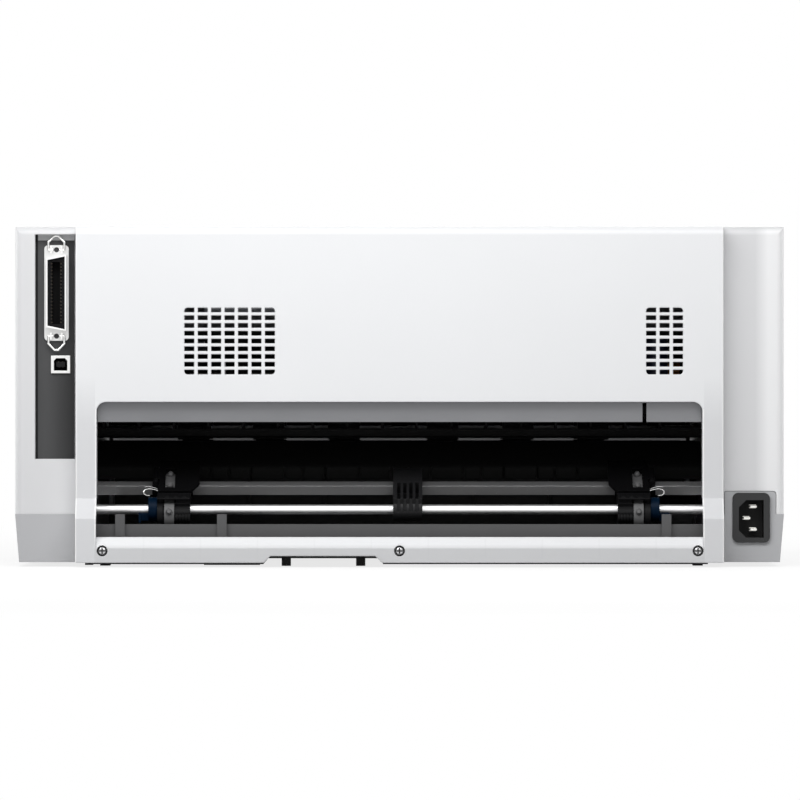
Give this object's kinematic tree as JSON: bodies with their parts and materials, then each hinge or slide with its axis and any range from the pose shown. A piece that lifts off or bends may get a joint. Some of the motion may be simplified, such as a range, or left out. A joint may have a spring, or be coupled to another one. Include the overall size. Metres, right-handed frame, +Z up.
{
  "type": "dot matrix printer",
  "caption": "Flatbed dot matrix printer with rear tractors, hinged top cover, print carriage, driven feed rollers and rear interface connectors",
  "frame": {"origin": "on the desk under the middle of the body's bounding box", "axes": "+X right seen from the front, +Y to the rear, +Z up"},
  "size_m": [0.48, 0.37, 0.212],
  "materials": {
    "lower_case": "fine textured moulding",
    "base_plate": "dark coated sheet",
    "rubber_feet": "plain",
    "rear_cover": "fine textured moulding",
    "rear_screws": "plated",
    "side_housing_left": "fine textured moulding",
    "side_housing_right": "fine textured moulding",
    "front_bezel": "fine textured moulding",
    "paper_table": "fine textured moulding",
    "interface_panel": "grey coated sheet",
    "parallel_port": "stamped shell",
    "usb_port": "stamped shell",
    "power_inlet": "smooth moulding",
    "shield_plate": "plated sheet",
    "main_board": "soldermask",
    "power_board": "soldermask",
    "frame_left": "plated sheet",
    "frame_right": "plated sheet",
    "feed_motor": "dark coated",
    "carriage_motor": "dark coated",
    "paper_guide_lower": "black moulding",
    "paper_guide_upper": "black moulding",
    "platen": "black moulding",
    "guide_shaft": "ground and polished",
    "carriage_rod": "ground and polished",
    "carriage_rail": "plated sheet",
    "carriage_belt": "toothed",
    "ribbon_cartridge": "moulding",
    "top_cover": "fine textured moulding",
    "cover_window": "smoked",
    "bail_upper": "plated",
    "bail_lower": "plated",
    "tractor_right": "black moulding",
    "pin_belt_right": "light moulding",
    "tractor_door_right": "black moulding",
    "lock_lever_right": "blue moulding",
    "sprocket_right": "moulding",
    "tractor_left": "black moulding",
    "pin_belt_left": "light moulding",
    "tractor_door_left": "black moulding",
    "lock_lever_left": "blue moulding",
    "sprocket_left": "moulding",
    "sheet_support": "black moulding",
    "feed_roller_rear": "ground roller",
    "feed_roller_front": "ground roller",
    "pinch_roller_rear": "ground roller",
    "pinch_roller_front": "ground roller",
    "idler_rear": "natural gear plastic",
    "idler_middle": "natural gear plastic",
    "motor_pinion": "cut",
    "drive_shaft": "drawn square bar",
    "carriage": "moulding",
    "print_head": "cast fins",
    "pulley_motor": "natural gear plastic",
    "pulley_idler": "natural gear plastic",
    "ribbon_knob": "moulding",
    "key_left": "grey keycap",
    "key_middle": "grey keycap",
    "key_right": "grey keycap",
    "power_switch": "smooth moulding"
  },
  "bodies": {
    "root": {"lower_case": "lower_case", "base_plate": "base_plate", "rubber_feet": "rubber_feet", "rear_cover": "rear_cover", "rear_screws": "rear_screws", "side_housing_left": "side_housing_left", "side_housing_right": "side_housing_right", "front_bezel": "front_bezel", "paper_table": "paper_table", "interface_panel": "interface_panel", "parallel_port": "parallel_port", "usb_port": "usb_port", "power_inlet": "power_inlet", "shield_plate": "shield_plate", "main_board": "main_board", "power_board": "power_board", "frame_left": "frame_left", "frame_right": "frame_right", "feed_motor": "feed_motor", "carriage_motor": "carriage_motor", "paper_guide_lower": "paper_guide_lower", "paper_guide_upper": "paper_guide_upper", "platen": "platen", "guide_shaft": "guide_shaft", "carriage_rod": "carriage_rod", "carriage_rail": "carriage_rail", "carriage_belt": "carriage_belt", "ribbon_cartridge": "ribbon_cartridge"},
    "top_cover": {"top_cover": "top_cover", "cover_window": "cover_window"},
    "bail_upper": {"bail_upper": "bail_upper"},
    "bail_lower": {"bail_lower": "bail_lower"},
    "tractor_right": {"tractor_right": "tractor_right", "pin_belt_right": "pin_belt_right"},
    "tractor_door_right": {"tractor_door_right": "tractor_door_right"},
    "lock_lever_right": {"lock_lever_right": "lock_lever_right"},
    "sprocket_right": {"sprocket_right": "sprocket_right"},
    "tractor_left": {"tractor_left": "tractor_left", "pin_belt_left": "pin_belt_left"},
    "tractor_door_left": {"tractor_door_left": "tractor_door_left"},
    "lock_lever_left": {"lock_lever_left": "lock_lever_left"},
    "sprocket_left": {"sprocket_left": "sprocket_left"},
    "sheet_support": {"sheet_support": "sheet_support"},
    "feed_roller_rear": {"feed_roller_rear": "feed_roller_rear"},
    "feed_roller_front": {"feed_roller_front": "feed_roller_front"},
    "pinch_roller_rear": {"pinch_roller_rear": "pinch_roller_rear"},
    "pinch_roller_front": {"pinch_roller_front": "pinch_roller_front"},
    "idler_rear": {"idler_rear": "idler_rear"},
    "idler_middle": {"idler_middle": "idler_middle"},
    "motor_pinion": {"motor_pinion": "motor_pinion"},
    "drive_shaft": {"drive_shaft": "drive_shaft"},
    "carriage": {"carriage": "carriage", "print_head": "print_head"},
    "pulley_motor": {"pulley_motor": "pulley_motor"},
    "pulley_idler": {"pulley_idler": "pulley_idler"},
    "ribbon_knob": {"ribbon_knob": "ribbon_knob"},
    "key_left": {"key_left": "key_left"},
    "key_middle": {"key_middle": "key_middle"},
    "key_right": {"key_right": "key_right"},
    "power_switch": {"power_switch": "power_switch"}
  },
  "joints": [
    {"name": "top_cover_hinge", "type": "hinge", "parent": "root", "child": "top_cover", "pos_m": [0, 0.02771, 0.20513], "axis": [-1, 0, 0], "range_deg": [0, 78]},
    {"name": "bail_upper_pivot", "type": "hinge", "parent": "root", "child": "bail_upper", "pos_m": [0.21445, 0.1584, 0.1977], "axis": [-1, 0, 0], "range_deg": [0, 100]},
    {"name": "bail_lower_pivot", "type": "hinge", "parent": "root", "child": "bail_lower", "pos_m": [0.21445, 0.1584, 0.1437], "axis": [1, 0, 0], "range_deg": [0, 100]},
    {"name": "tractor_right_slide", "type": "slide", "parent": "root", "child": "tractor_right", "axis": [1, 0, 0], "range_m": [-0.085, 0.022]},
    {"name": "tractor_door_right_hinge", "type": "hinge", "parent": "tractor_right", "child": "tractor_door_right", "pos_m": [0.1531, 0.13179, 0.05681], "axis": [0, 0.8454, -0.5342], "range_deg": [0, 100]},
    {"name": "lock_lever_right_turn", "type": "hinge", "parent": "tractor_right", "child": "lock_lever_right", "pos_m": [0.1545, 0.15, 0.0353], "axis": [1, 0, 0], "range_deg": [0, 75]},
    {"name": "sprocket_right_spin", "type": "hinge", "parent": "tractor_right", "child": "sprocket_right", "pos_m": [0.144, 0.12407, 0.04829], "axis": [1, 0, 0], "continuous": true},
    {"name": "tractor_left_slide", "type": "slide", "parent": "root", "child": "tractor_left", "axis": [1, 0, 0], "range_m": [-0.018, 0.085]},
    {"name": "tractor_door_left_hinge", "type": "hinge", "parent": "tractor_left", "child": "tractor_door_left", "pos_m": [-0.1586, 0.13179, 0.05681], "axis": [0, -0.8454, 0.5342], "range_deg": [0, 100]},
    {"name": "lock_lever_left_turn", "type": "hinge", "parent": "tractor_left", "child": "lock_lever_left", "pos_m": [-0.16, 0.15, 0.0353], "axis": [1, 0, 0], "range_deg": [0, 75]},
    {"name": "sprocket_left_spin", "type": "hinge", "parent": "tractor_left", "child": "sprocket_left", "pos_m": [-0.1495, 0.12407, 0.04829], "axis": [1, 0, 0], "continuous": true},
    {"name": "sheet_support_slide", "type": "slide", "parent": "root", "child": "sheet_support", "axis": [1, 0, 0], "range_m": [-0.03, 0.03]},
    {"name": "feed_roller_rear_spin", "type": "hinge", "parent": "root", "child": "feed_roller_rear", "pos_m": [0, 0.05, 0.0708], "axis": [1, 0, 0], "continuous": true},
    {"name": "feed_roller_front_spin", "type": "hinge", "parent": "root", "child": "feed_roller_front", "pos_m": [0, -0.05, 0.0708], "axis": [1, 0, 0], "continuous": true},
    {"name": "pinch_roller_rear_spin", "type": "hinge", "parent": "root", "child": "pinch_roller_rear", "pos_m": [0, 0.05, 0.0843], "axis": [1, 0, 0], "continuous": true},
    {"name": "pinch_roller_front_spin", "type": "hinge", "parent": "root", "child": "pinch_roller_front", "pos_m": [0, -0.05, 0.0843], "axis": [1, 0, 0], "continuous": true},
    {"name": "idler_rear_spin", "type": "hinge", "parent": "root", "child": "idler_rear", "pos_m": [-0.1971, 0.08311, 0.0502], "axis": [1, 0, 0], "continuous": true},
    {"name": "idler_middle_spin", "type": "hinge", "parent": "root", "child": "idler_middle", "pos_m": [-0.1971, 0, 0.06075], "axis": [1, 0, 0], "continuous": true},
    {"name": "motor_pinion_spin", "type": "hinge", "parent": "root", "child": "motor_pinion", "pos_m": [-0.1971, -0.03253, 0.02822], "axis": [1, 0, 0], "continuous": true},
    {"name": "drive_shaft_spin", "type": "hinge", "parent": "root", "child": "drive_shaft", "pos_m": [0, 0.12407, 0.04829], "axis": [1, 0, 0], "continuous": true},
    {"name": "carriage_slide", "type": "slide", "parent": "root", "child": "carriage", "axis": [1, 0, 0], "range_m": [-0.135, 0.135]},
    {"name": "pulley_motor_spin", "type": "hinge", "parent": "root", "child": "pulley_motor", "pos_m": [-0.172, 0.052, 0.097], "axis": [0, 0, 1], "range_deg": [-905, 905]},
    {"name": "pulley_idler_spin", "type": "hinge", "parent": "root", "child": "pulley_idler", "pos_m": [0.172, 0.052, 0.097], "axis": [0, 0, 1], "range_deg": [-905, 905]},
    {"name": "ribbon_knob_turn", "type": "hinge", "parent": "root", "child": "ribbon_knob", "pos_m": [-0.14, -0.075, 0.118], "axis": [0, 0, 1], "continuous": true},
    {"name": "key_left_press", "type": "slide", "parent": "root", "child": "key_left", "axis": [0, 0.4517, -0.8922], "range_m": [0, 0.001], "stiffness_N_per_m": 400, "springref_m": -0.0006},
    {"name": "key_middle_press", "type": "slide", "parent": "root", "child": "key_middle", "axis": [0, 0.4517, -0.8922], "range_m": [0, 0.001], "stiffness_N_per_m": 400, "springref_m": -0.0006},
    {"name": "key_right_press", "type": "slide", "parent": "root", "child": "key_right", "axis": [0, 0.4517, -0.8922], "range_m": [0, 0.001], "stiffness_N_per_m": 400, "springref_m": -0.0006},
    {"name": "power_switch_rock", "type": "hinge", "parent": "root", "child": "power_switch", "pos_m": [-0.2354, -0.108, 0.07], "axis": [0, 0, -1], "range_deg": [0, 12]}
  ],
  "couplings": [
    {"joint": "feed_roller_front_spin", "follows": "feed_roller_rear_spin", "ratio": 1},
    {"joint": "pinch_roller_rear_spin", "follows": "feed_roller_rear_spin", "ratio": -1.2},
    {"joint": "pinch_roller_front_spin", "follows": "feed_roller_rear_spin", "ratio": -1.2},
    {"joint": "idler_middle_spin", "follows": "feed_roller_rear_spin", "ratio": -0.30769},
    {"joint": "motor_pinion_spin", "follows": "feed_roller_rear_spin", "ratio": 1.7143},
    {"joint": "idler_rear_spin", "follows": "feed_roller_rear_spin", "ratio": -0.44444},
    {"joint": "drive_shaft_spin", "follows": "feed_roller_rear_spin", "ratio": 0.85714},
    {"joint": "sprocket_left_spin", "follows": "feed_roller_rear_spin", "ratio": 0.85714},
    {"joint": "sprocket_right_spin", "follows": "feed_roller_rear_spin", "ratio": 0.85714},
    {"joint": "pulley_motor_spin", "follows": "carriage_slide", "rad_per_m": 116.28},
    {"joint": "pulley_idler_spin", "follows": "carriage_slide", "rad_per_m": 116.28}
  ]
}
